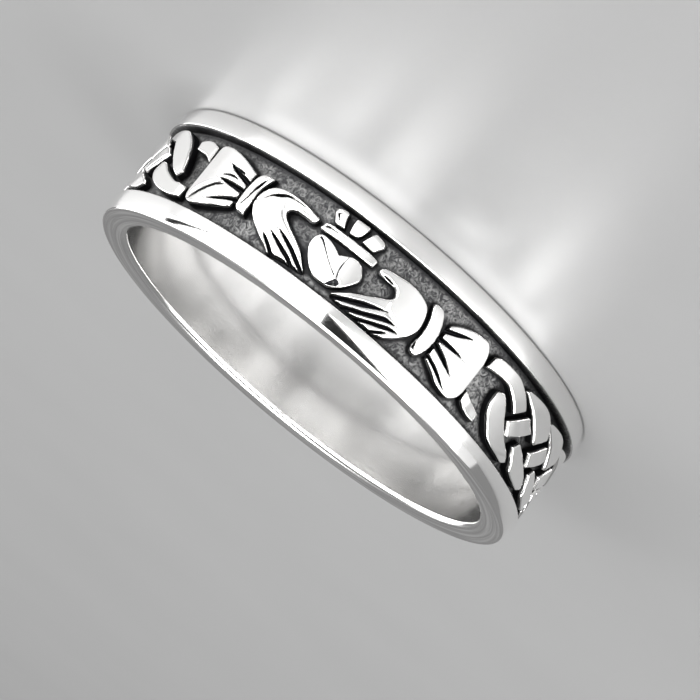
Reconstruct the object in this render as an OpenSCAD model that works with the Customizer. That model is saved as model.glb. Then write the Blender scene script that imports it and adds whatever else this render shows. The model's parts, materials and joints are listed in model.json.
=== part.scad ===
// Claddagh band ring, cast in silver in one piece.
// Two plain rims stand either side of a sunk channel. Raised in the channel are a heart
// with its crown, held by two hands in gathered cuffs, and a four-strand plait that runs
// round the back from cuff to cuff.
// The ring lies on its crown-side rim: the finger hole's axis is Z and the heart faces -Y.

/* [Finger hole] */
// Diameter of the finger hole
bore_d = 19.8; // [15:0.1:23]
// Radius that softens both edges of the finger hole
bore_round = 0.3; // [0.1:0.05:0.4]

/* [Band] */
// Width of the band along the finger
band_w = 5.8; // [5:0.1:9]
// Metal from the finger hole to the crest of the rims
wall = 1.45; // [1.3:0.05:2.2]
// Width of each rim
rim_w = 1; // [0.8:0.05:1.6]
// How far each rim's face falls away towards its outer edge
rim_fall = 0.13; // [0.04:0.01:0.25]
// Radius of the rims' outer corners
rim_round = 0.3; // [0.1:0.05:0.4]

/* [Channel and relief] */
// Depth of the channel below the crest of the rims
channel_depth = 0.55; // [0.35:0.05:0.8]
// How far each channel wall leans in towards the floor
wall_lean = 0.06; // [0.02:0.01:0.12]
// How far the relief's highest faces stay below the crest of the rims
relief_drop = 0.08; // [0:0.02:0.2]

/* [Heart and crown] */
// Width of the heart round the band
heart_w = 2.7; // [2:0.1:3.2]
// Width of the crown's bar round the band
crown_w = 2.75; // [2:0.1:3.4]

/* [Hands] */
// Length of each hand round the band, from the wrist to the fingertips
hand_l = 3.8; // [3.2:0.1:4.6]
// How far the fingertips reach under the heart, past its side
tuck = 0.6; // [0.3:0.05:1]
// Half width of the engraved lines where they are widest
line_half = 0.1; // [0.05:0.01:0.14]
// Metal left under an engraved line, as a share of the relief's height
line_left = 0.25; // [0.1:0.05:0.6]

/* [Sleeves] */
// Width of each wristband round the band
wristband_w = 0.6; // [0.4:0.05:0.9]
// Gap between the hand, the wristband and the cuff, halfway up
sleeve_gap = 0.15; // [0.08:0.01:0.3]
// Length of the left cuff round the band
left_cuff_l = 2.6; // [2:0.05:3.2]
// Length of the right cuff round the band
right_cuff_l = 2.35; // [1.8:0.05:3]

/* [Knotwork] */
// Length of the open loop beside the left cuff
left_loop_l = 4.5; // [3.8:0.1:5.5]
// Length of the open loop beside the right cuff
right_loop_l = 3.75; // [3:0.05:4.6]
// Length of one repeat of the plait, before it is fitted to the space left
knot_pitch = 2.75; // [2.2:0.05:3.6]

/* [Hidden] */
$fn = 96;

bore_r = bore_d / 2;
crest_r = bore_r + wall;
edge_r = crest_r - rim_fall;
rim_lean = atan(rim_fall / (rim_w - rim_round));
floor_r = crest_r - channel_depth;
relief_h = channel_depth - relief_drop;
face_r = floor_r + relief_h;
channel_low = rim_w;
channel_high = band_w - rim_w;
channel_mid = band_w / 2;
half = channel_mid - rim_w;
// How deep each raised form is rooted in the floor
root = channel_depth * 0.3;
// How high a cutter for engraved lines reaches, as a share of the relief's height,
// and how much wider it is up there than at the relief's faces
reach = 1.3;
flare = (reach - line_left) / (1 - line_left);
// Angle that one millimetre takes up at the relief's faces
turn_per_mm = 180 / (PI * face_r);

// Places along the channel, in millimetres from the heart's middle.
// Left and right are a viewer's who holds the ring with the crown up.
tips_at = heart_w / 2 - tuck;
wrist_at = tips_at + hand_l;
wristband_at = wrist_at + sleeve_gap + wristband_w / 2;
cuff_at = wristband_at + wristband_w / 2 + sleeve_gap;
left_hem = cuff_at + left_cuff_l;
right_hem = cuff_at + right_cuff_l;
// The plait takes what is left between the two loops, in whole repeats
girth = 360 / turn_per_mm;
plait_l = girth - left_hem - right_hem - left_loop_l - right_loop_l;
repeats = max(1, round(plait_l / knot_pitch));
pitch = plait_l / repeats;
plait_at = right_hem + right_loop_l;

// Height across a raised form, from one edge to the other: [place, height]
CROSS = [[0, 0.5], [0.14, 0.86], [0.5, 1], [0.86, 0.86], [1, 0.5]];

// Each table below is charted by hand. A row is one section of a raised form:
// [low along, low across, high along, high across, height].
// Along is a share of the form's own length, across a share of half the channel with
// the crown's side positive, and height a share of the relief's height.
// A row of an engraved line is [along, across, half width as a share of line_half].

// Bar of the crown, along from its middle
CROWN_BAR = [
    [-0.50, 0.22, -0.49, 0.34, 0.75],
    [-0.46, 0.20, -0.43, 0.42, 0.95],
    [0.00, 0.20, 0.00, 0.41, 1.00],
    [0.43, 0.20, 0.45, 0.39, 0.95],
    [0.49, 0.22, 0.50, 0.29, 0.75],
];
CROWN_BAR_LINES = [
    [[-0.45, 0.31, 0.2], [-0.41, 0.35, 0.6], [-0.36, 0.37, 0.5], [-0.24, 0.38, 0.3], [-0.12, 0.38, 0.2]],
];
// Petals of the crown, each from the bar outwards
LEFT_PETAL = [
    [-0.36, 0.50, -0.20, 0.52, 0.80],
    [-0.47, 0.72, -0.26, 0.74, 0.95],
    [-0.44, 0.82, -0.28, 0.84, 0.90],
    [-0.39, 0.85, -0.33, 0.86, 0.70],
];
LEFT_PETAL_LINES = [
    [[-0.37, 0.80, 0.2], [-0.41, 0.75, 0.6], [-0.39, 0.71, 0.6], [-0.33, 0.61, 0.2]],
];
MIDDLE_PETAL = [
    [-0.09, 0.50, 0.02, 0.53, 0.80],
    [-0.13, 0.74, 0.08, 0.74, 0.95],
    [-0.14, 0.84, 0.09, 0.84, 0.90],
    [-0.09, 0.87, 0.06, 0.87, 0.70],
];
RIGHT_PETAL = [
    [0.14, 0.52, 0.37, 0.49, 0.80],
    [0.20, 0.74, 0.45, 0.69, 0.95],
    [0.23, 0.82, 0.42, 0.78, 0.90],
    [0.28, 0.85, 0.35, 0.83, 0.70],
];
// Outline of the heart from its cleft round the left lobe: [along, across]
HEART = [
    [0.00, -0.02], [-0.08, 0.04], [-0.18, 0.10], [-0.32, 0.14], [-0.43, 0.12], [-0.49, -0.02],
    [-0.49, -0.17], [-0.45, -0.30], [-0.37, -0.46], [-0.27, -0.61], [-0.15, -0.75],
    [-0.06, -0.79], [0.10, -0.79], [0.19, -0.75], [0.31, -0.61], [0.40, -0.46],
    [0.47, -0.30], [0.50, -0.16], [0.46, -0.03], [0.37, 0.10], [0.22, 0.13], [0.09, 0.05]
];
// Where the heart's facets meet, and how each slopes from there:
// its rise for each millimetre along and each millimetre across
HEART_PEAK = [0.11, -0.42];
HEART_FACETS = [[0.14, 0.12], [-0.01, -0.08], [-0.16, -0.08], [-0.04, 0.15]];

// Back of the left hand and its fingers, along from the wrist to the fingertips
LEFT_PALM = [
    [0.01, -0.20, 0.02, -0.05, 0.60],
    [0.07, -0.34, 0.09, 0.05, 0.80],
    [0.21, -0.55, 0.26, 0.28, 0.95],
    [0.35, -0.73, 0.43, -0.01, 1.00],
    [0.46, -0.83, 0.64, -0.24, 1.00],
    [0.51, -0.89, 0.77, -0.37, 0.95],
    [0.62, -0.86, 0.85, -0.48, 0.90],
    [0.77, -0.84, 0.92, -0.60, 0.85],
    [0.93, -0.82, 0.98, -0.73, 0.70],
];
LEFT_THUMB = [
    [0.02, -0.03, 0.01, 0.11, 0.60],
    [0.08, 0.05, 0.04, 0.28, 0.80],
    [0.23, 0.27, 0.23, 0.50, 1.00],
    [0.40, 0.21, 0.47, 0.49, 1.00],
    [0.60, 0.24, 0.66, 0.43, 0.90],
    [0.73, 0.23, 0.76, 0.39, 0.70],
];
LEFT_HAND_LINES = [
    [[0.42, -0.27, 0.2], [0.59, -0.41, 0.8], [0.75, -0.56, 1.0], [0.87, -0.70, 0.9], [1.02, -0.86, 0.8]],
    [[0.37, -0.41, 0.2], [0.49, -0.52, 0.7], [0.64, -0.65, 0.9], [0.76, -0.75, 0.9], [0.88, -0.89, 0.8]],
    [[0.32, -0.55, 0.2], [0.39, -0.64, 0.7], [0.47, -0.74, 0.9], [0.60, -0.91, 0.9]],
];
LEFT_THUMB_LINES = [
    [[0.12, 0.13, 0.2], [0.27, 0.33, 0.9], [0.36, 0.41, 0.6], [0.49, 0.43, 0.4], [0.67, 0.40, 0.2]],
];
// The right hand, along from its wrist to its fingertips
RIGHT_PALM = [
    [0.01, -0.34, 0.03, 0.02, 0.60],
    [0.04, -0.45, 0.14, 0.11, 0.85],
    [0.15, -0.65, 0.39, 0.05, 1.00],
    [0.25, -0.81, 0.54, -0.23, 1.00],
    [0.40, -0.89, 0.74, -0.47, 0.95],
    [0.54, -0.88, 0.82, -0.57, 0.90],
    [0.70, -0.88, 0.90, -0.67, 0.85],
    [0.85, -0.86, 0.95, -0.74, 0.80],
    [0.97, -0.83, 1.00, -0.79, 0.70],
];
RIGHT_THUMB = [
    [0.02, -0.04, 0.05, 0.20, 0.60],
    [0.11, 0.05, 0.09, 0.35, 0.85],
    [0.35, 0.06, 0.32, 0.47, 1.00],
    [0.48, 0.18, 0.55, 0.42, 1.00],
    [0.69, 0.18, 0.70, 0.36, 0.85],
    [0.73, 0.23, 0.74, 0.30, 0.70],
];
RIGHT_HAND_LINES = [
    [[0.40, -0.32, 0.3], [0.53, -0.43, 0.9], [0.79, -0.67, 0.9], [1.00, -0.86, 0.7]],
    [[0.25, -0.46, 0.3], [0.35, -0.48, 1.0], [0.46, -0.58, 0.9], [0.73, -0.82, 0.9], [0.84, -0.93, 0.7]],
    [[0.17, -0.56, 0.3], [0.26, -0.59, 0.8], [0.48, -0.77, 0.8], [0.69, -0.95, 0.7]],
];
// Wristbands from the heart's point side to the crown side, along from their middle
LEFT_WRISTBAND = [
    [0.10, -0.46, -0.62, -0.49, 0.75],
    [0.38, -0.34, -0.55, -0.34, 0.95],
    [0.50, 0.08, -0.48, 0.08, 1.00],
    [0.38, 0.45, -0.68, 0.45, 0.95],
    [-0.10, 0.58, -0.80, 0.60, 0.75],
];
LEFT_WRISTBAND_LINES = [
    [[0.22, -0.34, 0.2], [-0.01, -0.13, 0.5], [-0.14, 0.11, 0.5], [-0.27, 0.32, 0.6], [-0.43, 0.50, 0.2]],
];
RIGHT_WRISTBAND = [
    [-0.40, -0.64, 0.00, -0.65, 0.75],
    [-0.62, -0.48, 0.36, -0.46, 0.95],
    [-0.52, -0.14, 0.55, -0.14, 1.00],
    [-0.72, 0.16, 0.44, 0.12, 1.00],
    [-1.12, 0.43, 0.00, 0.43, 0.95],
    [-1.00, 0.54, -0.48, 0.54, 0.75],
];
// Cuffs, along from the gathers at the wristband to the hem
LEFT_CUFF = [
    [0.02, -0.46, 0.01, 0.49, 0.60],
    [0.11, -0.54, 0.13, 0.56, 0.85],
    [0.44, -0.72, 0.47, 0.71, 1.00],
    [0.79, -0.83, 0.83, 0.77, 1.00],
    [0.91, -0.73, 0.96, 0.73, 0.90],
    [0.97, -0.49, 1.00, 0.56, 0.75],
];
RIGHT_CUFF = [
    [0.02, -0.50, 0.00, 0.38, 0.60],
    [0.15, -0.57, 0.13, 0.51, 0.85],
    [0.47, -0.77, 0.47, 0.71, 1.00],
    [0.81, -0.82, 0.79, 0.75, 1.00],
    [0.94, -0.69, 0.91, 0.56, 0.90],
    [1.00, -0.43, 0.99, 0.23, 0.75],
];
LEFT_PLEATS = [
    [[0.58, 0.46, 0.2], [0.40, 0.36, 0.8], [-0.04, 0.18, 1.0]],
    [[0.62, 0.03, 0.2], [0.44, 0.01, 0.7], [-0.04, -0.03, 1.0]],
    [[0.80, -0.72, 0.2], [0.70, -0.43, 0.7], [0.50, -0.16, 0.6], [0.37, -0.09, 0.2]],
    [[0.52, -0.55, 0.5], [0.33, -0.45, 0.9], [-0.04, -0.24, 1.0]],
];
RIGHT_PLEATS = [
    [[0.43, 0.51, 0.2], [0.17, 0.34, 0.9], [-0.04, 0.23, 1.0]],
    [[0.58, 0.04, 0.2], [0.18, 0.04, 0.9], [-0.04, 0.03, 1.0]],
    [[0.55, -0.41, 0.2], [0.22, -0.23, 1.0], [-0.04, -0.10, 1.0]],
    [[0.66, -0.75, 0.2], [0.35, -0.57, 0.5], [-0.04, -0.42, 0.8]],
];
// One repeat of the plait, along in repeats from the crossing in mid-channel.
// The rising strand lies over it, the upper strand ends at it, the lower one starts at it.
RISING = [
    [-0.15, -0.34, -0.32, -0.10, 0.75],
    [0.07, -0.12, -0.15, 0.12, 1.00],
    [0.29, 0.15, 0.02, 0.33, 0.75],
];
UPPER = [
    [-1.38, 0.70, -1.32, 0.76, 0.60],
    [-1.20, 0.60, -1.12, 0.81, 0.80],
    [-0.98, 0.49, -0.88, 0.83, 1.00],
    [-0.62, 0.23, -0.50, 0.73, 1.00],
    [-0.44, 0.10, -0.15, 0.40, 0.75],
];
LOWER = [
    [0.17, -0.34, 0.26, -0.17, 0.75],
    [0.37, -0.62, 0.64, -0.37, 1.00],
    [0.60, -0.82, 0.98, -0.53, 1.00],
    [0.95, -0.84, 1.15, -0.62, 0.80],
    [1.11, -0.83, 1.23, -0.72, 0.60],
];
// The loop beside the right cuff, along from the hem to the plait's first crossing
RIGHT_LOOP_UPPER = [
    [0.04, 0.38, 0.06, 0.63, 0.75],
    [0.22, 0.44, 0.20, 0.75, 1.00],
    [0.42, 0.44, 0.46, 0.76, 1.00],
    [0.65, 0.25, 0.74, 0.56, 1.00],
    [0.77, 0.11, 0.90, 0.37, 0.75],
];
RIGHT_LOOP_LOWER = [
    [0.38, 0.20, 0.44, 0.26, 0.70],
    [0.37, -0.05, 0.58, 0.08, 0.95],
    [0.44, -0.38, 0.71, -0.20, 1.00],
    [0.64, -0.71, 0.93, -0.48, 1.00],
    [0.95, -0.81, 1.12, -0.62, 0.90],
    [1.10, -0.83, 1.19, -0.72, 0.60],
];
RIGHT_STUB = [
    [0.06, -0.60, 0.04, -0.35, 0.75],
    [0.20, -0.73, 0.20, -0.47, 0.90],
    [0.37, -0.74, 0.35, -0.55, 0.60],
];
// The loop beside the left cuff, along from the hem to the plait's last crossing
LEFT_LOOP_LOWER = [
    [0.04, -0.79, 0.02, -0.52, 0.75],
    [0.20, -0.84, 0.22, -0.51, 1.00],
    [0.40, -0.80, 0.42, -0.38, 1.00],
    [0.66, -0.60, 0.64, -0.13, 1.00],
    [0.81, -0.37, 0.78, -0.16, 0.75],
];
LEFT_LOOP_UPPER = [
    [0.25, -0.30, 0.24, -0.12, 0.70],
    [0.44, -0.17, 0.36, 0.25, 0.95],
    [0.66, 0.17, 0.54, 0.63, 1.00],
    [0.87, 0.50, 0.77, 0.84, 1.00],
    [1.04, 0.59, 0.98, 0.83, 0.85],
    [1.15, 0.63, 1.11, 0.80, 0.60],
];
LEFT_STUB = [
    [0.02, 0.25, 0.04, 0.61, 0.75],
    [0.18, 0.38, 0.20, 0.67, 0.90],
    [0.30, 0.43, 0.33, 0.61, 0.60],
];

// A point of the relief: along and across the channel, and above its floor
function spot(along, across, high) =
    let (turn = along * turn_per_mm, r = floor_r + high)
    [-r * sin(turn), -r * cos(turn), channel_mid - across];

// A smooth curve through four values, at a share t of the way from b to c
function ease(a, b, c, d, t) =
    (2 * b + (c - a) * t + (2 * a - 5 * b + 4 * c - d) * t * t
        + (3 * b - a - 3 * c + d) * t * t * t) / 2;

// Rows of an open table, with smooth rows worked out between them
function between(rows, steps) = let (last = len(rows) - 1) [
    for (i = [0 : last - 1], k = [0 : steps - 1])
        ease(rows[max(i - 1, 0)], rows[i], rows[i + 1], rows[min(i + 2, last)], k / steps),
    rows[last]
];

// A table's shares as millimetres; dir is 1 to the right of the heart and -1 to its left
function sized(rows, at, l, dir = 1) = [
    for (r = rows) [
        dir * (at + r[0] * l), r[1] * half,
        dir * (at + r[2] * l), r[3] * half,
        r[4] * relief_h
    ]
];
function sized_line(rows, at, l, dir = 1) = [
    for (r = rows) [dir * (at + r[0] * l), r[1] * half, r[2] * line_half]
];

// Twice the signed area between the two edges: positive where the low edge is on the right
function sweep_sign(rows) = [
    for (i = 0, s = 0; i < len(rows); i = i + 1,
        s = s + (i < len(rows) ? cross(
            [rows[i][0] - rows[i - 1][0], rows[i][1] - rows[i - 1][1]],
            [rows[i][2] - rows[i][0], rows[i][3] - rows[i][1]]) : 0)) s
][len(rows) - 1];

// A closed solid from faces that are listed for one handedness
module shell_of(points, faces, flip) {
    polyhedron(points, flip ? [for (f = faces) [f[2], f[1], f[0]]] : faces, convexity = 6);
}

// A raised form between two edges, rounded across and rooted in the floor
module raised(rows, steps = 2) {
    r = between(rows, steps);
    n = len(r);
    m = len(CROSS);
    w = m + 2;
    points = [
        for (q = r) each [
            for (c = CROSS)
                spot(q[0] + (q[2] - q[0]) * c[0], q[1] + (q[3] - q[1]) * c[0], q[4] * c[1]),
            spot(q[2], q[3], -root),
            spot(q[0], q[1], -root)
        ]
    ];
    faces = [
        for (i = [0 : n - 2], k = [0 : w - 1]) each [
            [i * w + k, i * w + (k + 1) % w, (i + 1) * w + k],
            [i * w + (k + 1) % w, (i + 1) * w + (k + 1) % w, (i + 1) * w + k]
        ],
        for (k = [0 : w - 3]) each [
            [w - 1, k + 1, k],
            [n * w - 1, (n - 1) * w + k, (n - 1) * w + k + 1]
        ]
    ];
    shell_of(points, faces, sweep_sign(r) < 0);
}

// A cutter for an engraved line: a long wedge with its edge down
module engraved(line, steps = 2) {
    r = between(line, steps);
    n = len(r);
    points = [
        for (i = [0 : n - 1]) let (
            before = r[max(i - 1, 0)],
            after = r[min(i + 1, n - 1)],
            d = [after[0] - before[0], after[1] - before[1]],
            side = [-d[1], d[0]] / norm(d) * r[i][2] * flare
        ) each [
            spot(r[i][0] + side[0], r[i][1] + side[1], relief_h * reach),
            spot(r[i][0] - side[0], r[i][1] - side[1], relief_h * reach),
            spot(r[i][0], r[i][1], relief_h * line_left)
        ]
    ];
    faces = [
        for (i = [0 : n - 2], k = [0 : 2]) each [
            [i * 3 + k, (i + 1) * 3 + k, i * 3 + (k + 1) % 3],
            [i * 3 + (k + 1) % 3, (i + 1) * 3 + k, (i + 1) * 3 + (k + 1) % 3]
        ],
        [0, 1, 2],
        [n * 3 - 1, n * 3 - 2, n * 3 - 3]
    ];
    shell_of(points, faces, false);
}

// A raised form with its engraved lines cut into it
module carved(rows, lines, at, l, dir, steps = 2) {
    color("gainsboro")
        difference() {
            raised(sized(rows, at, l, dir), steps);
            for (line = lines) engraved(sized_line(line, at, l, dir));
        }
}

// The hoop with its two rims and the channel between them
module band() {
    // A quarter round as points, from one angle to another
    function corner(c, r, from, to) = [
        for (k = [0 : 4]) let (a = from + (to - from) * k / 4) [c[0] + r * cos(a), c[1] + r * sin(a)]
    ];
    color("silver")
        rotate_extrude()
            polygon([
                each corner([bore_r + bore_round, bore_round], bore_round, 180, 270),
                each corner([edge_r - rim_round, rim_round], rim_round, 270, 360 - rim_lean),
                [crest_r, channel_low],
                [floor_r, channel_low + wall_lean],
                [floor_r, channel_high - wall_lean],
                [crest_r, channel_high],
                each corner([edge_r - rim_round, band_w - rim_round], rim_round, rim_lean, 90),
                each corner([bore_r + bore_round, band_w - bore_round], bore_round, 90, 180)
            ]);
}

module heart() {
    rim = [for (p = HEART) [p[0] * heart_w, p[1] * half]];
    peak = [HEART_PEAK[0] * heart_w, HEART_PEAK[1] * half];
    n = len(rim);
    // The edge is softened over this share of the way to the peak, and drops to this
    // share of the facet's height
    inset = 0.1;
    edge = 0.8;
    inner = [for (p = rim) p + (peak - p) * inset];
    function facet_h(p) = relief_h + min([for (f = HEART_FACETS) f * (p - peak)]);
    points = [
        for (p = rim) spot(p[0], p[1], -root),
        for (p = rim) spot(p[0], p[1], facet_h(p) * edge),
        for (p = inner) spot(p[0], p[1], facet_h(p)),
        spot(peak[0], peak[1], relief_h),
        spot(peak[0], peak[1], -root)
    ];
    faces = [
        for (i = [0 : n - 1], ring = [0, n]) each [
            [ring + i, ring + (i + 1) % n, ring + n + i],
            [ring + (i + 1) % n, ring + n + (i + 1) % n, ring + n + i]
        ],
        for (i = [0 : n - 1]) each [
            [2 * n + i, 2 * n + (i + 1) % n, 3 * n],
            [(i + 1) % n, i, 3 * n + 1]
        ]
    ];
    color("gainsboro") shell_of(points, faces, true);
}

module crown() {
    carved(CROWN_BAR, CROWN_BAR_LINES, 0, crown_w, 1, 1);
    carved(LEFT_PETAL, LEFT_PETAL_LINES, 0, crown_w, 1, 1);
    carved(MIDDLE_PETAL, [], 0, crown_w, 1, 1);
    carved(RIGHT_PETAL, [], 0, crown_w, 1, 1);
}

// Both hands' tables run from the wrist to the fingertips, so their length is negative
module left_hand() {
    carved(LEFT_PALM, LEFT_HAND_LINES, wrist_at, -hand_l, -1, 1);
    carved(LEFT_THUMB, LEFT_THUMB_LINES, wrist_at, -hand_l, -1);
}

module right_hand() {
    carved(RIGHT_PALM, RIGHT_HAND_LINES, wrist_at, -hand_l, 1, 1);
    carved(RIGHT_THUMB, [], wrist_at, -hand_l, 1);
}

module wristbands() {
    carved(LEFT_WRISTBAND, LEFT_WRISTBAND_LINES, wristband_at, wristband_w, -1);
    carved(RIGHT_WRISTBAND, [], wristband_at, wristband_w, 1);
}

// The gathered cuffs with their pleat cuts
module cuffs() {
    carved(LEFT_CUFF, LEFT_PLEATS, cuff_at, left_cuff_l, -1);
    carved(RIGHT_CUFF, RIGHT_PLEATS, cuff_at, right_cuff_l, 1);
}

// The plait and the open loop at each of its ends
module knotwork() {
    color("gainsboro") {
        for (k = [0 : repeats]) {
            crossing = plait_at + k * pitch;
            raised(sized(RISING, crossing, pitch), 1);
            if (k > 0) raised(sized(UPPER, crossing, pitch));
            if (k < repeats) raised(sized(LOWER, crossing, pitch));
        }
        for (form = [RIGHT_LOOP_UPPER, RIGHT_LOOP_LOWER, RIGHT_STUB])
            raised(sized(form, right_hem, right_loop_l));
        for (form = [LEFT_LOOP_UPPER, LEFT_LOOP_LOWER, LEFT_STUB])
            raised(sized(form, left_hem, left_loop_l, -1));
    }
}

// The whole casting
module ring() {
    union() {
        band();
        heart();
        crown();
        left_hand();
        right_hand();
        wristbands();
        cuffs();
        knotwork();
    }
}

ring();
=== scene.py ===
import json
import math

import bpy
import numpy as np
from mathutils import Matrix, Vector


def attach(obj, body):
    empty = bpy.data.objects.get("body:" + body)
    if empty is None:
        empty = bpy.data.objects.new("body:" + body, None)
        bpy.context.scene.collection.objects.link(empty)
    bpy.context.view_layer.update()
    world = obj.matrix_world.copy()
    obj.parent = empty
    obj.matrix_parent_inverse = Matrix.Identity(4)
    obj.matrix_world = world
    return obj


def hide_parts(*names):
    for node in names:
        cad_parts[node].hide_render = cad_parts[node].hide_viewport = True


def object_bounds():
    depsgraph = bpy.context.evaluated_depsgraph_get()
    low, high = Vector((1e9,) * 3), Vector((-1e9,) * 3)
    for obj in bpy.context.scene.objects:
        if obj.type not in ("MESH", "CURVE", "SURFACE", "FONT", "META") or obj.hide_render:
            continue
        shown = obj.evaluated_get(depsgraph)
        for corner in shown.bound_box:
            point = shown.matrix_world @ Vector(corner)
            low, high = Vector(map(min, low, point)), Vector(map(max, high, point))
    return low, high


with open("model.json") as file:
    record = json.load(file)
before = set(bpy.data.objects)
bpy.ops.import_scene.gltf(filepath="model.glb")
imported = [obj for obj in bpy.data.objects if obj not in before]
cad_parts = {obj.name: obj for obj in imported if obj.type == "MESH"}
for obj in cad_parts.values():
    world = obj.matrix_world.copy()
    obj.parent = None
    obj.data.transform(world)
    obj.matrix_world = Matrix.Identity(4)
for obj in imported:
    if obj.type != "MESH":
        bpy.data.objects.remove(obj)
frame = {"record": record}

cad_low, cad_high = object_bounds()

# Band: one hoop of cast sterling silver, with a plain rim along each side of a sunk channel.
# The rims are polished to a slight crown, the sides are brushed round the hoop, and the
# finger hole is rubbed to a satin.
mm = 0.001
mounts = {mount["name"]: mount for mount in frame["record"]["mounts"]}
hole = mounts["finger_hole"]["dims"]["r_mm"] * mm
hole_round = 0.3 * mm
crest = cad_high.x
width = cad_high.z
rim_w = 1.0 * mm
rim_round = 0.14 * mm
rim_lean = math.radians(15)
crest_round = 0.05 * mm
channel_depth = 0.55 * mm
wall_lean = 0.06 * mm
# How much further the bare metal is cut back behind the darkened skin of the channel
skin_room = 0.02 * mm
# Polishing reaches this far in from the crest, and leaves this share of a rim's corner brushed
polish_depth = 0.3 * mm
corner_brushed = 0.3
# The finger hole is satin up to this far out from its wall
satin_depth = 0.1 * mm
band_steps = 720
floor = crest - channel_depth
channel_low = rim_w
channel_high = width - rim_w


def arc(r, z, radius, start, end, count=12):
    """Points (r, z) on a circle of that radius, from one angle to another in degrees."""
    angle = np.radians(np.linspace(start, end, count))
    return np.stack([r + radius * np.cos(angle), z + radius * np.sin(angle)], axis=1)


def rim():
    """Points (r, z) of the foot's rim. After a corner arc the face is a parabola,
    r = crest - fall * s * s with s from 1 at the corner to 0 at the channel, and its slope at
    the corner is the arc's."""
    face = rim_w - crest_round - rim_round * (1 - math.sin(rim_lean))
    fall = face * math.tan(rim_lean) / 2
    s = np.linspace(1, 0, 28)[1:]
    corner_r = crest - fall - rim_round * math.cos(rim_lean)
    return np.concatenate([
        arc(corner_r, rim_round, rim_round, -90, -math.degrees(rim_lean)),
        np.stack([crest - fall * s * s, rim_w - crest_round - face * s], axis=1),
        arc(crest - crest_round, rim_w - crest_round, crest_round, 10, 90, 6),
    ])


def shell(name, points, quads, fans=np.zeros((0, 3), int), **fields):
    """A closed mesh of quads and triangles. Each field is one number for each point, kept as an
    attribute. Faces point outwards: if the volume, a sixth of the sum of a . (b x c) over the
    triangles, is negative, they are turned round."""
    corners = np.concatenate([quads[:, [0, 1, 2]], quads[:, [0, 2, 3]], fans])
    a, b, c = (points[corners[:, k]] for k in range(3))
    if (a * np.cross(b, c)).sum() < 0:
        quads, fans = quads[:, ::-1], fans[:, ::-1]
    mesh = bpy.data.meshes.new(name)
    mesh.from_pydata(points, [], quads.tolist() + fans.tolist())
    mesh.polygons.foreach_set("use_smooth", np.ones(len(mesh.polygons), bool))
    for field, values in fields.items():
        mesh.attributes.new(field, "FLOAT", "POINT").data.foreach_set("value", values.ravel())
    mesh.validate()
    piece = bpy.data.objects.new(name, mesh)
    bpy.context.scene.collection.objects.link(piece)
    return piece


def skin(name, loops, ring=False, **fields):
    """A closed surface. loops[c, i, j] is point j round loop i of copy c. Each loop is joined to
    the next, and the ends meet in a ring or are closed by a fan to the loop's middle, which gets
    the mean of the loop's fields."""
    loops = loops if loops.ndim == 4 else loops[None]
    copies, rows, around, _ = loops.shape
    grid = np.arange(copies * rows * around).reshape(copies, rows, around)
    start = grid if ring else grid[:, :-1]
    end = np.roll(grid, -1, axis=1) if ring else grid[:, 1:]
    quads = np.stack([start, np.roll(start, -1, axis=2), np.roll(end, -1, axis=2), end], axis=-1)
    quads = quads.reshape(-1, 4)
    points = loops.reshape(-1, 3)
    fields = {field: np.broadcast_to(values, loops.shape[:3]) for field, values in fields.items()}
    if ring:
        return shell(name, points, quads, **fields)
    middles = loops[:, [0, -1]].mean(axis=2)
    centre = len(points) + np.arange(copies * 2).reshape(copies, 2, 1) + 0 * grid[:, [0, -1]]
    first, last = grid[:, 0], grid[:, -1]
    fans = np.concatenate([
        np.stack([centre[:, 0], np.roll(first, -1, axis=1), first], axis=-1).reshape(-1, 3),
        np.stack([centre[:, 1], last, np.roll(last, -1, axis=1)], axis=-1).reshape(-1, 3),
    ])
    fields = {
        field: np.concatenate([values.ravel(), values[:, [0, -1]].mean(axis=2).ravel()])
        for field, values in fields.items()
    }
    return shell(name, np.concatenate([points, middles.reshape(-1, 3)]), quads, fans, **fields)


def turned(name, profile, steps, **fields):
    """A closed profile of points (r, z) turned round the hole's axis, in that many steps."""
    turn = np.linspace(0, 2 * math.pi, steps, endpoint=False)[:, None]
    r, z = profile[:, 0], profile[:, 1]
    loops = np.stack([r * np.sin(turn), -r * np.cos(turn), z + 0 * turn], axis=-1)
    return skin(name, loops, ring=True, **fields)


def finish(name, roughness=0.2):
    """A new metal material, and a function add that puts a node in it. It takes the node's kind,
    its sockets by name or number, and its settings. Its add.shader fills the sockets of the
    metal's own shader in the same way."""
    material = bpy.data.materials.new(name)
    material.use_nodes = True
    tree = material.node_tree
    shader = tree.nodes["Principled BSDF"]
    shader.inputs["Metallic"].default_value = 1
    shader.inputs["Roughness"].default_value = roughness

    def fill(node, sockets):
        for key, value in sockets.items():
            if isinstance(value, bpy.types.NodeSocket):
                tree.links.new(value, node.inputs[key])
            else:
                node.inputs[key].default_value = value

    def add(kind, sockets=None, **settings):
        node = tree.nodes.new("ShaderNode" + kind)
        for key, value in settings.items():
            setattr(node, key, value)
        fill(node, sockets or {})
        return node

    add.shader = lambda sockets: fill(shader, sockets)
    return material, add


def blend(add, amount, low, high):
    """Mixes two colours, or shades of grey, by an amount from 0 to 1."""
    node = add("Mix", {0: amount}, data_type="RGBA")
    for key, value in ((6, low), (7, high)):
        if isinstance(value, bpy.types.NodeSocket):
            node.id_data.links.new(value, node.inputs[key])
        else:
            node.inputs[key].default_value = (*value, 1)
    return node.outputs[2]


def ranged(add, value, low, high, start=0.0, end=1.0):
    """Turns start to end evenly into low to high, and stays at low and high beyond them."""
    ends = {"From Min": start, "From Max": end, "To Min": low, "To Max": high}
    return add("MapRange", {"Value": value, **ends}).outputs[0]


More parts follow.
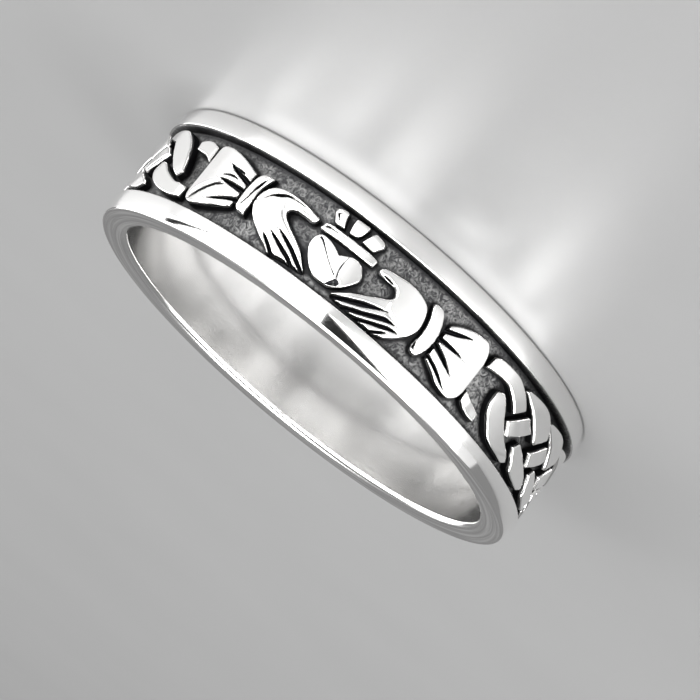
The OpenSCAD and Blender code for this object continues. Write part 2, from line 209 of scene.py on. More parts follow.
def band_silver():
    """Silver whose fine lines run round the hoop. Noise is stretched along the turn by using
    x and y at a small scale and z and the radius at a large one. Where the brushed attribute
    is high the lines are deep and the metal is rough, elsewhere it is polished. The satin
    attribute is high where the metal is only rubbed smooth."""
    material, add = finish("band_silver")
    place = add("TexCoord").outputs["Object"]
    brushed = add("Attribute", attribute_name="brushed").outputs["Fac"]
    satin = add("Attribute", attribute_name="satin").outputs["Fac"]
    radius = add("VectorMath", {0: place, 1: (1, 1, 0)}, operation="MULTIPLY").outputs[0]
    radius = add("VectorMath", {0: radius}, operation="LENGTH").outputs["Value"]
    line_scale = 9000
    round_hoop = add("Mapping", {"Vector": place, "Scale": (160, 160, line_scale)}).outputs[0]
    lines = add("TexNoise", {
        "Vector": round_hoop, "Scale": 1, "Detail": 4,
        "W": add("Math", {0: radius, 1: line_scale}, operation="MULTIPLY").outputs[0],
    }, noise_dimensions="4D").outputs["Fac"]
    cloud = add("TexNoise", {"Vector": place, "Scale": 260, "Detail": 3}).outputs["Fac"]
    rough = add("Math", {0: ranged(add, brushed, 0.08, 0.26), 1: ranged(add, satin, 0, 0.045)})
    rough = add("Math", {0: rough.outputs[0], 1: ranged(add, cloud, -0.035, 0.035)})
    depth = ranged(add, brushed, 0.02, 0.5)
    bump = add("Bump", {"Strength": depth, "Distance": 0.02 * mm, "Height": lines})
    scratched = ranged(add, lines, 0, 1, 0.62, 0.42)
    scratched = add("Math", {0: scratched, 1: brushed}, operation="MULTIPLY").outputs[0]
    plain = blend(add, cloud, (0.93, 0.925, 0.915), (0.97, 0.965, 0.96))
    add.shader({
        "Base Color": blend(add, scratched, plain, (0.66, 0.655, 0.65)),
        "Roughness": rough.outputs[0],
        "Normal": bump.outputs[0],
    })
    return material


bare_floor = floor - skin_room
bare_low = channel_low + wall_lean - skin_room
bare_high = channel_high - wall_lean + skin_room
band_profile = np.concatenate([
    rim(),
    [[bare_floor, bare_low], [bare_floor, bare_high]],
    rim()[::-1] * [1, -1] + [0, width],
    arc(hole + hole_round, width - hole_round, hole_round, 90, 180),
    arc(hole + hole_round, hole_round, hole_round, 180, 270),
])
from_side = np.minimum(band_profile[:, 1], width - band_profile[:, 1])
polished = (band_profile[:, 0] > crest - polish_depth) & (from_side > rim_round * corner_brushed)
bore = band_profile[:, 0] < hole + satin_depth
band = turned(
    "band", band_profile, band_steps,
    brushed=np.where(polished | bore, 0.0, 1.0), satin=np.where(bore, 1.0, 0.0),
)
band.data.materials.append(band_silver())
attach(band, "root")
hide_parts("ring")

# Heart: cast with the band, raised in the middle of the channel and cut with four flat facets
# that meet in a point. Its faces are polished bright, and its foot is dark.
heart_w = 2.7 * mm
heart_round = 0.09 * mm
heart_line_depth = 0.05 * mm
# Rows from the edge to the peak, and points round the outline
heart_grid = (110, 400)
# How far the tops of all raised forms lie below the rims' crest
sunk = 0.08 * mm
relief = channel_depth - sunk
face = floor + relief
mid = (channel_low + channel_high) / 2
half = (channel_high - channel_low) / 2
# How deep every raised form is rooted below the channel's floor
root = 0.1 * mm
# How far polishing has spread every form's edge
spread = 0.03 * mm
# A cut ends at least this far above the channel's floor
cut_end = 0.05 * mm
# That holds wherever a form has risen by this share of its height
foot_share = 0.05
# Points along every engraved line
line_points = 40
relief_pieces = []
# The outline from the cleft round the left lobe: along as a share of the heart's width, and
# across as a share of half the channel, with the crown's side positive
HEART = [
    [0.00, -0.02], [-0.08, 0.04], [-0.18, 0.10], [-0.32, 0.14], [-0.43, 0.12], [-0.49, -0.02],
    [-0.49, -0.17], [-0.45, -0.30], [-0.37, -0.45], [-0.27, -0.59], [-0.15, -0.70],
    [-0.06, -0.73], [0.10, -0.73], [0.19, -0.70], [0.31, -0.59], [0.40, -0.45],
    [0.47, -0.30], [0.50, -0.16], [0.46, -0.03], [0.37, 0.10], [0.22, 0.13], [0.09, 0.05],
    [0.00, -0.02],
]
# Where the facets meet, and how each rises along and across from there
HEART_PEAK = [0.11, -0.42]
HEART_FACETS = [[0.04, 0.03], [-0.01, -0.03], [-0.04, -0.02], [-0.01, 0.04]]
# Fine lines where the facets meet, and the dark hollow beside the point, each with
# [along, across, half width in mm] at its points
HEART_LINES = [
    [[-0.40, 0.07, 0.06], [-0.34, 0.04, 0.06], [-0.20, -0.11, 0.04], [-0.03, -0.29, 0.035],
     [0.13, -0.43, 0.035]],
    [[0.15, 0.10, 0.02], [0.14, -0.12, 0.035], [0.15, -0.27, 0.035], [0.19, -0.43, 0.045]],
    [[0.10, -0.73, 0.02], [0.15, -0.66, 0.11], [0.20, -0.595, 0.19], [0.225, -0.56, 0.22]],
]


def spot(along, across, high):
    """A place in the channel. The turn is along / face radius, the radius floor + high, and
    z the channel's middle less across. Along grows to the right when the crown is up."""
    turn, r = along / face, floor + high
    return np.stack([-r * np.sin(turn), -r * np.cos(turn), mid - across + 0 * r], axis=-1)


def flow(rows, share):
    """A smooth curve through the rows. Between b and c, with neighbours a and d, it is half of
    2b + (c - a)t + (2a - 5b + 4c - d)t^2 + (3b - a - 3c + d)t^3."""
    rows = np.asarray(rows, float)
    last = len(rows) - 1
    i = np.clip((share * last).astype(int), 0, last - 1)
    t = (share * last - i)[:, None]
    a, b, c, d = (rows[np.clip(i + k, 0, last)] for k in (-1, 0, 1, 2))
    return (2 * b + (c - a) * t + (2 * a - 5 * b + 4 * c - d) * t**2 + (3 * b - a - 3 * c + d) * t**3) / 2


def shoulder(distance, reach):
    """Height share at a distance in from an edge: (1 - (1 - x)^3)^(1/3), where x is the
    distance as a share of the reach, so the side stands steeply and the top is flat."""
    x = np.clip(distance / reach, 0, 1)
    return np.cbrt(1 - (1 - x) ** 3)


def darkness(share):
    """Oxide left on a side: all of it below 0.56 of the height, none above 0.86."""
    return np.clip((0.86 - share) / 0.3, 0, 1)


def relief_silver():
    """Polished silver with the faint waves of hand polishing. It turns to black oxide where the
    tarnish attribute nears 1, along a line that fine noise makes uneven."""
    material, add = finish("relief_silver")
    place = add("TexCoord").outputs["Object"]
    tarnish = add("Attribute", attribute_name="tarnish").outputs["Fac"]
    grain = add("TexNoise", {"Vector": place, "Scale": 6500, "Detail": 2}).outputs["Fac"]
    waves = add("TexNoise", {"Vector": place, "Scale": 900, "Detail": 2}).outputs["Fac"]
    uneven = add("Math", {0: tarnish, 1: ranged(add, grain, -0.28, 0.28)}).outputs[0]
    black = ranged(add, uneven, 0, 1, 0.3, 0.7)
    bump = add("Bump", {"Strength": 0.25, "Distance": 0.02 * mm, "Height": waves})
    add.shader({
        "Base Color": blend(add, black, (0.96, 0.955, 0.945), (0.018, 0.018, 0.02)),
        "Roughness": ranged(add, black, 0.13, 0.5),
        "Normal": bump.outputs[0],
    })
    return material


def traced(points, at, length, way=1):
    """An outline or an engraved stroke in metres: along is way * (at + share * length), across a
    share of half the channel, and a stroke's half width is given in mm."""
    points = np.array(points, float)
    points[:, 0] = way * (at + points[:, 0] * length)
    points[:, 1] *= half
    points[:, 2:] *= mm
    return points


def cut_by(lines, along, across):
    """How far each place lies inside the engraved lines, from 0 at a line's edge to 1 at its
    middle: 1 - distance / half width, with the half width read at the nearest point."""
    inside = np.zeros(along.shape)
    for line in lines:
        line = flow(line, np.linspace(0, 1, line_points))
        apart = np.hypot(along[..., None] - line[:, 0], across[..., None] - line[:, 1])
        nearest = apart.argmin(axis=-1)
        distance = np.take_along_axis(apart, nearest[..., None], axis=-1)[..., 0]
        inside = np.maximum(inside, 1 - distance / line[nearest, 2])
    return inside


def raise_heart():
    """A polar grid: a point is peak + (outline - peak) * v, with v from 1 at the edge to nearly
    0 at the peak, and the outline let out along its rays by 1.5 times the spread. The height is
    the lowest of the facets' planes times the shoulder of the distance to the edge, less the
    lines. A ray meets the edge aslant, so that distance is taken as 0.85 of the way along it."""
    rows, around = heart_grid
    outline = flow(HEART, np.linspace(0, 1, around, endpoint=False)) * [heart_w, half]
    peak = np.array(HEART_PEAK) * [heart_w, half]
    ray = outline - peak
    outline += ray / np.linalg.norm(ray, axis=1)[:, None] * 1.5 * spread
    v = np.concatenate([[1, 1], 1 - np.linspace(0, 1, rows)[1:-1] ** 1.3])
    flat = peak + (outline - peak) * v[:, None, None]
    planes = relief + (flat - peak) @ np.array(HEART_FACETS).T
    edge_distance = (1 - v[:, None]) * (np.linalg.norm(outline - peak, axis=1) * 0.85)
    top = shoulder(edge_distance, heart_round)
    lines = [traced(line, 0, heart_w) for line in HEART_LINES]
    inside = cut_by(lines, flat[..., 0], flat[..., 1])
    high = planes.min(axis=-1) * top - heart_line_depth * np.clip(inside, 0, 1)
    high[0] = -root
    tarnish = np.maximum(darkness(top), np.clip(inside * 2.2, 0, 0.75))
    return skin("heart", spot(flat[..., 0], flat[..., 1], high), tarnish=tarnish)


def settle(piece):
    """Every raised form is one with the band, and has the bright finish with a dark foot."""
    piece.data.materials.append(bright)
    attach(piece, "root")
    relief_pieces.append(piece)


bright = relief_silver()
settle(raise_heart())

# Crown: a bar and three petals above the heart, cast with the band. A light engraved stroke
# marks the bar and the left petal.
crown_w = 2.75 * mm
# Every table of this kind has one row for each section of a form, end to end:
# [low along, low across, high along, high across, height]. Along is a share of the form's own
# length, across of half the channel, and height of the relief's.
CROWN = {
    "crown_bar": [
        [-0.50, 0.27, -0.49, 0.35, 0.80],
        [-0.47, 0.23, -0.44, 0.43, 0.95],
        [-0.20, 0.235, -0.20, 0.44, 1.00],
        [0.10, 0.235, 0.10, 0.44, 1.00],
        [0.46, 0.235, 0.48, 0.42, 0.95],
        [0.51, 0.26, 0.52, 0.34, 0.80],
    ],
    "crown_petal_left": [
        [-0.36, 0.50, -0.20, 0.52, 0.85],
        [-0.42, 0.62, -0.23, 0.63, 0.95],
        [-0.47, 0.73, -0.26, 0.74, 1.00],
        [-0.46, 0.83, -0.28, 0.86, 0.95],
        [-0.40, 0.88, -0.33, 0.90, 0.85],
    ],
    "crown_petal_middle": [
        [-0.09, 0.50, 0.03, 0.53, 0.85],
        [-0.11, 0.62, 0.08, 0.63, 0.95],
        [-0.13, 0.75, 0.11, 0.76, 1.00],
        [-0.13, 0.86, 0.12, 0.87, 0.95],
        [-0.10, 0.91, 0.10, 0.92, 0.85],
    ],
    "crown_petal_right": [
        [0.14, 0.52, 0.37, 0.49, 0.85],
        [0.17, 0.63, 0.41, 0.60, 0.95],
        [0.20, 0.75, 0.46, 0.71, 1.00],
        [0.23, 0.84, 0.45, 0.80, 0.95],
        [0.28, 0.89, 0.37, 0.86, 0.85],
    ],
}
# Engraved strokes, each with [along, across, half width in mm] at its points
CROWN_STROKES = {
    "crown_bar": [[-0.46, 0.34, 0.02], [-0.42, 0.35, 0.06], [-0.36, 0.375, 0.04], [-0.12, 0.39, 0.015]],
    "crown_petal_left": [
        [-0.37, 0.80, 0.01], [-0.41, 0.75, 0.05], [-0.39, 0.70, 0.04], [-0.33, 0.61, 0.01],
    ],
}


def placed(rows, at, length, way=1):
    """A table's shares as metres, along and across as in traced. Way is 1 to the right of the
    heart and -1 to its left."""
    rows = np.array(rows, float)
    rows[:, 0:-1:2] = way * (at + rows[:, 0:-1:2] * length)
    rows[:, 1:-1:2] *= half
    return rows


def groove(inside):
    """The share of a cut's depth at a place: 1.4 times how far inside the cut it lies, and at
    most 1, so the cut has a flat bottom."""
    return np.clip(inside * 1.4, 0, 1)


def raised(name, rows, lines, steps, reach=0.1 * mm, depth=0.3 * mm, shifts=(0,), spread=spread):
    """A form between a low and a high edge: along it the rows flow from end to end, and across
    it runs from edge to edge, with more points near the edges. The height is the rows' height
    times the shoulder of the distance to the sides and of that to the ends, less the cuts. Steps
    are its points along and across, and it is repeated at each of the shifts along the channel."""
    share = 0.5 - 0.5 * np.cos(np.linspace(0, math.pi, steps[0]))
    low_along, low_across, high_along, high_across, height = flow(rows, share).T[..., None]
    wide = np.hypot(high_along - low_along, high_across - low_across)
    grow = [(high_along - low_along) / wide * spread, (high_across - low_across) / wide * spread]
    low_along, low_across = low_along - grow[0], low_across - grow[1]
    high_along, high_across = high_along + grow[0], high_across + grow[1]
    s = 0.5 - 0.5 * np.cos(np.linspace(0, math.pi, steps[1]))
    along = low_along + (high_along - low_along) * s
    across = low_across + (high_across - low_across) * s
    breadth = wide + 2 * spread
    strides = np.hypot(*np.diff([along, across], axis=1)).mean(axis=1)
    run = np.concatenate([[0], np.cumsum(strides)])[:, None]
    sides = shoulder(np.minimum(s, 1 - s) * breadth, np.minimum(reach, breadth / 2))
    ends = shoulder(np.minimum(run, run[-1] - run), reach)
    inside = cut_by(lines, along, across)
    high = height * relief * sides * ends - depth * groove(inside)
    high = np.where(sides * ends > foot_share, np.maximum(high, cut_end), high)
    tarnish = np.maximum(darkness(sides * ends), np.clip(inside * 2, 0, 1))
    # The section goes down to the root at both edges and back under the floor
    wrap = [0, *range(steps[1]), steps[1] - 1]
    along, across, high, tarnish = (grid[:, wrap] for grid in (along, across, high, tarnish))
    high[:, [0, -1]] = -root
    shifts = np.reshape(shifts, (-1, 1, 1))
    settle(skin(name, spot(along + shifts, across + 0 * shifts, high + 0 * shifts), tarnish=tarnish))


for name, rows in CROWN.items():
    lines = [traced(CROWN_STROKES[name], 0, crown_w)] if name in CROWN_STROKES else []
    raised(name, placed(rows, 0, crown_w), lines, (90, 26) if name == "crown_bar" else (36, 30))

# Hands: one on each side, holding the heart from below with the thumb over it. Each is cast
# in one with its thumb, and the cuts between the fingers are engraved and black.
hand_l = 3.8 * mm
# How far the fingertips reach in under the heart
tuck = 0.6 * mm
hand_round = 0.13 * mm
finger_cut_depth = 0.33 * mm
crease_depth = 0.05 * mm
# How much the back of a hand rises for each length across, towards the crown's side
hand_slope = 0.03
hand_cell = 0.022 * mm
hand_outline_points = 300
wrist_at = heart_w / 2 - tuck + hand_l
# Outlines from the wrist over the thumb, through its crotch and round the fingers back to the
# wrist: along as a share of the hand's length from the wrist, across of half the channel
LEFT_HAND = [
    [0.00, -0.03], [0.00, 0.10], [0.03, 0.25], [0.08, 0.38], [0.15, 0.46], [0.23, 0.50],
    [0.33, 0.51], [0.47, 0.49], [0.60, 0.45], [0.70, 0.41], [0.755, 0.385], [0.765, 0.34],
    [0.735, 0.24], [0.66, 0.235], [0.58, 0.24], [0.50, 0.24], [0.44, 0.20], [0.405, 0.12],
    [0.42, 0.04], [0.47, -0.05], [0.53, -0.13], [0.63, -0.235], [0.73, -0.34], [0.81, -0.43],
    [0.86, -0.52], [0.91, -0.62], [0.97, -0.745], [0.985, -0.80], [0.95, -0.82], [0.85, -0.83],
    [0.70, -0.845], [0.585, -0.875], [0.52, -0.895], [0.48, -0.83], [0.42, -0.775],
    [0.35, -0.71], [0.29, -0.64], [0.23, -0.57], [0.17, -0.50], [0.11, -0.41], [0.06, -0.31],
    [0.02, -0.19], [0.00, -0.10], [0.00, -0.03],
]
RIGHT_HAND = [
    [0.00, -0.05], [0.02, 0.10], [0.045, 0.23], [0.08, 0.34], [0.13, 0.41], [0.23, 0.475],
    [0.34, 0.50], [0.44, 0.485], [0.55, 0.455], [0.65, 0.425], [0.695, 0.40], [0.735, 0.34],
    [0.735, 0.26], [0.70, 0.225], [0.60, 0.225], [0.50, 0.215], [0.45, 0.15], [0.425, 0.05],
    [0.435, -0.03], [0.48, -0.11], [0.555, -0.19], [0.63, -0.28], [0.74, -0.41], [0.82, -0.50],
    [0.90, -0.62], [0.97, -0.73], [1.00, -0.80], [0.98, -0.83], [0.87, -0.855], [0.72, -0.87],
    [0.57, -0.885], [0.42, -0.90], [0.365, -0.89], [0.29, -0.855], [0.24, -0.81], [0.19, -0.73],
    [0.145, -0.65], [0.09, -0.53], [0.05, -0.44], [0.02, -0.32], [0.00, -0.18], [0.00, -0.05],
]
# Cuts between the fingers and along the thumb: [along, across, half width in mm]
LEFT_CUTS = [
    [[0.42, -0.27, 0.02], [0.59, -0.41, 0.09], [0.75, -0.56, 0.11], [0.87, -0.70, 0.11],
     [1.02, -0.87, 0.11]],
    [[0.37, -0.41, 0.02], [0.49, -0.52, 0.08], [0.64, -0.65, 0.11], [0.76, -0.75, 0.11],
     [0.88, -0.90, 0.11]],
    [[0.32, -0.55, 0.02], [0.39, -0.64, 0.08], [0.47, -0.74, 0.10], [0.60, -0.93, 0.11]],
    [[0.00, -0.04, 0.03], [0.08, 0.12, 0.05], [0.14, 0.25, 0.07], [0.22, 0.33, 0.11],
     [0.32, 0.42, 0.07], [0.45, 0.43, 0.05], [0.56, 0.42, 0.035], [0.67, 0.39, 0.015]],
]
RIGHT_CUTS = [
    [[0.38, -0.31, 0.02], [0.53, -0.43, 0.10], [0.66, -0.55, 0.15], [0.79, -0.67, 0.14],
     [1.02, -0.88, 0.12]],
    [[0.23, -0.44, 0.03], [0.35, -0.48, 0.12], [0.46, -0.58, 0.13], [0.60, -0.71, 0.12],
     [0.73, -0.82, 0.13], [0.86, -0.95, 0.12]],
    [[0.15, -0.54, 0.03], [0.26, -0.59, 0.10], [0.37, -0.68, 0.11], [0.48, -0.77, 0.10],
     [0.69, -0.97, 0.12]],
    [[0.25, -0.68, 0.02], [0.31, -0.77, 0.08], [0.40, -0.90, 0.08]],
    [[0.50, 0.23, 0.02], [0.60, 0.25, 0.06], [0.68, 0.26, 0.03]],
]
# Shallow creases over the back of each hand, in the same columns
LEFT_CREASES = [
    [[0.33, 0.26, 0.03], [0.36, 0.16, 0.06], [0.37, 0.06, 0.08], [0.43, -0.06, 0.08],
     [0.54, -0.19, 0.06], [0.69, -0.34, 0.05], [0.86, -0.55, 0.03]],
    [[0.42, 0.36, 0.03], [0.55, 0.345, 0.08], [0.72, 0.33, 0.04]],
]
RIGHT_CREASES = [
    [[0.42, -0.14, 0.02], [0.415, -0.25, 0.08], [0.37, -0.34, 0.13], [0.28, -0.38, 0.10],
     [0.20, -0.42, 0.02]],
]


def depth_inside(outline, along, across):
    """How far each place lies inside a closed outline, and less than 0 outside: the distance to
    the nearest edge. A place is inside if a line from it along the channel crosses the outline
    an odd number of times."""
    place = np.stack([along, across], axis=-1)[:, :, None]
    start, end = outline[:-1], outline[1:]
    edge = end - start
    t = ((place - start) * edge).sum(axis=-1) / (edge ** 2).sum(axis=-1).clip(1e-18)
    off = place - start - edge * np.clip(t, 0, 1)[..., None]
    distance = np.sqrt((off ** 2).sum(axis=-1)).min(axis=-1)
    crosses = (start[:, 1] > across[..., None]) != (end[:, 1] > across[..., None])
    with np.errstate(divide="ignore", invalid="ignore"):
        at = start[:, 0] + edge[:, 0] * (across[..., None] - start[:, 1]) / edge[:, 1]
    within = (crosses & (along[..., None] < at)).sum(axis=-1) % 2 == 1
    return np.where(within, distance, -distance)


def closed_cells(kept):
    """The kept cells of a square grid, the same cells on a second grid under it, turned over,
    and a wall between them along every edge that only one kept cell has."""
    rows, columns = kept.shape[0] + 1, kept.shape[1] + 1
    under = rows * columns
    number = np.arange(under).reshape(rows, columns)
    quads = np.stack([number[:-1, :-1], number[1:, :-1], number[1:, 1:], number[:-1, 1:]], axis=-1)
    quads = quads[kept]
    edges = np.concatenate([quads[:, [k, (k + 1) % 4]] for k in range(4)])
    _, first, count = np.unique(np.sort(edges, axis=1) @ [under, 1], return_index=True, return_counts=True)
    start, end = edges[first[count == 1]].T
    walls = np.stack([end, start, start + under, end + under], axis=1)
    return np.concatenate([quads, quads[:, ::-1] + under, walls])


def carved(name, outline, lines, creases):
    """A form with a free outline, on a square grid. Its height is the relief, which rises a
    little towards the crown's side, times the shoulder of the distance in from the outline,
    less the cuts and the shallow creases, whose section is 3s^2 - 2s^3. Cells well outside the
    outline are left out, and the rest is closed by the same cells below the root."""
    outline = flow(outline, np.linspace(0, 1, hand_outline_points))
    room = spread + 3 * hand_cell
    start, end = outline.min(axis=0) - room, outline.max(axis=0) + room
    along, across = np.meshgrid(*(np.arange(start[k], end[k], hand_cell) for k in (0, 1)), indexing="ij")
    depth_in = depth_inside(outline, along, across) + spread
    top = shoulder(depth_in + hand_cell * 0.5, hand_round)
    inside = cut_by(lines, along, across)
    soft = np.clip(cut_by(creases, along, across) * 1.5, 0, 1)
    high = (relief + hand_slope * across) * top - finger_cut_depth * groove(inside)
    high -= crease_depth * soft ** 2 * (3 - 2 * soft)
    high = np.where(top > foot_share, np.maximum(high, cut_end), -root)
    # The shallow creases are darkened part of the way to black, at most 0.45 of the tarnish
    tarnish = np.maximum(darkness(top), np.clip(np.maximum(inside * 2, soft * 0.45), 0, 1))
    near = depth_in > -1.5 * hand_cell
    faces = closed_cells(near[:-1, :-1] & near[1:, :-1] & near[1:, 1:] & near[:-1, 1:])
    used, quads = np.unique(faces, return_inverse=True)
    points = np.stack([spot(along, across, high), spot(along, across, 0 * high - 2 * root)]).reshape(-1, 3)
    tarnish = np.stack([tarnish, np.ones(along.shape)]).ravel()
    settle(shell(name, points[used], quads.reshape(-1, 4), tarnish=tarnish[used]))


for name, outline, cuts, creases, way in (
    ("left_hand", LEFT_HAND, LEFT_CUTS, LEFT_CREASES, -1),
    ("right_hand", RIGHT_HAND, RIGHT_CUTS, RIGHT_CREASES, 1),
):
    carved(
        name, traced(outline, wrist_at, -hand_l, way),
        [traced(cut, wrist_at, -hand_l, way) for cut in cuts],
        [traced(crease, wrist_at, -hand_l, way) for crease in creases],
    )

# Wristbands: a rolled band between each hand and its cuff, cast with both. An engraved stroke
# runs along the left one, and the right one has a nick in its edge.
wristband_w = 0.6 * mm
wristband_round = 0.16 * mm
wristband_cut_depth = 0.2 * mm
sleeve_gap = 0.15 * mm
wristband_at = wrist_at + sleeve_gap + wristband_w / 2
LEFT_WRISTBAND = [
    [0.06, -0.48, -0.60, -0.50, 0.85],
    [0.38, -0.36, -0.56, -0.36, 0.95],
    [0.50, -0.08, -0.48, -0.08, 1.00],
    [0.50, 0.20, -0.48, 0.20, 1.00],
    [0.36, 0.46, -0.70, 0.46, 0.95],
    [-0.06, 0.59, -0.80, 0.61, 0.85],
]
RIGHT_WRISTBAND = [
    [-0.20, -0.66, 0.17, -0.67, 0.85],
    [-0.40, -0.50, 0.54, -0.48, 0.95],
    [-0.35, -0.16, 0.72, -0.16, 1.00],
    [-0.55, 0.18, 0.60, 0.14, 1.00],
    [-0.95, 0.46, 0.15, 0.46, 0.95],
    [-0.83, 0.60, -0.31, 0.59, 0.85],
]
WRISTBAND_STROKE = [
    [0.24, -0.44, 0.03], [-0.01, -0.16, 0.06], [-0.14, 0.11, 0.08], [-0.27, 0.32, 0.12],
    [-0.45, 0.52, 0.03],
]
WRISTBAND_NICK = [[-0.10, -0.55, 0.02], [-0.26, -0.52, 0.07], [-0.30, -0.45, 0.06], [-0.36, -0.37, 0.02]]
for name, rows, line, way in (
    ("left_wristband", LEFT_WRISTBAND, WRISTBAND_STROKE, -1),
    ("right_wristband", RIGHT_WRISTBAND, WRISTBAND_NICK, 1),
):
    raised(
        name, placed(rows, wristband_at, wristband_w, way), [traced(line, wristband_at, wristband_w, way)],
        (90, 40), wristband_round, wristband_cut_depth,
    )

# Cuffs: gathered sleeves of the same casting, drawn in at the wristband and full at the hem.
# The pleats are deep pointed cuts, widest at the gathers.
cuff_at = wristband_at + wristband_w / 2 + sleeve_gap
cuff_round = 0.15 * mm
pleat_depth = 0.34 * mm
left_cuff_l = 2.65 * mm
right_cuff_l = 2.47 * mm
LEFT_CUFF = [
    [0.01, -0.46, 0.00, 0.49, 0.80],
    [0.11, -0.54, 0.13, 0.56, 0.90],
    [0.27, -0.63, 0.29, 0.64, 1.00],
    [0.44, -0.72, 0.47, 0.71, 1.00],
    [0.62, -0.79, 0.65, 0.76, 1.00],
    [0.79, -0.83, 0.83, 0.77, 1.00],
    [0.92, -0.74, 0.96, 0.73, 0.95],
    [0.975, -0.50, 1.00, 0.57, 0.90],
]
RIGHT_CUFF = [
    [0.05, -0.50, 0.04, 0.40, 0.80],
    [0.15, -0.57, 0.13, 0.51, 0.90],
    [0.31, -0.67, 0.30, 0.63, 1.00],
    [0.47, -0.77, 0.47, 0.71, 1.00],
    [0.65, -0.82, 0.64, 0.75, 1.00],
    [0.81, -0.82, 0.79, 0.75, 1.00],
    [0.94, -0.69, 0.91, 0.58, 0.95],
    [1.00, -0.43, 0.99, 0.25, 0.90],
]
LEFT_PLEATS = [
    [[0.60, 0.46, 0.01], [0.42, 0.36, 0.10], [0.22, 0.28, 0.13], [-0.06, 0.17, 0.15]],
    [[0.46, 0.42, 0.01], [0.30, 0.375, 0.05], [0.18, 0.35, 0.05]],
    [[0.64, 0.03, 0.01], [0.46, 0.01, 0.09], [0.22, -0.01, 0.14], [-0.06, -0.03, 0.16]],
    [[0.64, 0.07, 0.02], [0.52, 0.14, 0.07], [0.36, 0.18, 0.07], [0.22, 0.16, 0.03]],
    [[0.84, -0.74, 0.08], [0.81, -0.60, 0.16], [0.74, -0.43, 0.18], [0.64, -0.27, 0.15],
     [0.54, -0.16, 0.12], [0.40, -0.09, 0.05]],
    [[0.54, -0.56, 0.04], [0.35, -0.46, 0.11], [0.17, -0.35, 0.13], [-0.06, -0.22, 0.14]],
]
RIGHT_PLEATS = [
    [[0.52, 0.54, 0.03], [0.38, 0.46, 0.08], [0.22, 0.36, 0.12], [-0.04, 0.22, 0.14]],
    [[0.66, 0.05, 0.01], [0.46, 0.06, 0.07], [0.24, 0.05, 0.12], [-0.04, 0.03, 0.14]],
    [[0.63, -0.43, 0.01], [0.46, -0.34, 0.09], [0.28, -0.24, 0.14], [-0.04, -0.08, 0.16]],
    [[0.70, -0.77, 0.01], [0.54, -0.68, 0.07], [0.34, -0.56, 0.10], [0.14, -0.46, 0.10],
     [-0.04, -0.40, 0.10]],
]
for name, rows, pleats, length, way in (
    ("left_cuff", LEFT_CUFF, LEFT_PLEATS, left_cuff_l, -1),
    ("right_cuff", RIGHT_CUFF, RIGHT_PLEATS, right_cuff_l, 1),
):
    raised(
        name, placed(rows, cuff_at, length, way), [traced(pleat, cuff_at, length, way) for pleat in pleats],
        (150, 150), cuff_round, pleat_depth,
    )

# Knotwork: a plait of rounded strands runs round the back from one cuff to the other, and at
# each end its strands open into a loop. Every strand is cast with the band and polished.
left_hem = cuff_at + left_cuff_l
right_hem = cuff_at + right_cuff_l
left_loop_l = 4.5 * mm
right_loop_l = 3.85 * mm
strand_round = 0.11 * mm
# How far polishing has spread the strands' edges
plait_spread = 0.06 * mm
loop_spread = 0.05 * mm
knot_pitch = 2.75 * mm
plait_l = 2 * math.pi * face - left_hem - right_hem - left_loop_l - right_loop_l
repeats = round(plait_l / knot_pitch)
pitch = plait_l / repeats
plait_at = right_hem + right_loop_l
# One repeat of the plait, along in repeats from the crossing in mid-channel
RISING = [
    [-0.18, -0.37, -0.35, -0.13, 0.90],
    [-0.05, -0.24, -0.25, 0.00, 1.00],
    [0.07, -0.12, -0.15, 0.12, 1.00],
    [0.18, 0.01, -0.07, 0.23, 1.00],
    [0.31, 0.18, 0.05, 0.37, 0.90],
]
UPPER = [
    [-1.42, 0.70, -1.36, 0.76, 0.85],
    [-1.20, 0.60, -1.12, 0.81, 0.90],
    [-0.98, 0.49, -0.88, 0.83, 1.00],
    [-0.80, 0.37, -0.68, 0.81, 1.00],
    [-0.62, 0.23, -0.50, 0.73, 1.00],
    [-0.50, 0.13, -0.32, 0.60, 1.00],
    [-0.42, 0.08, -0.14, 0.40, 0.90],
]
LOWER = [
    [0.17, -0.34, 0.26, -0.17, 0.85],
    [0.26, -0.49, 0.44, -0.26, 0.95],
    [0.37, -0.62, 0.64, -0.37, 1.00],
    [0.48, -0.77, 0.87, -0.47, 1.00],
    [0.70, -0.83, 1.03, -0.56, 1.00],
    [0.95, -0.84, 1.16, -0.63, 0.90],
    [1.12, -0.83, 1.25, -0.73, 0.85],
]
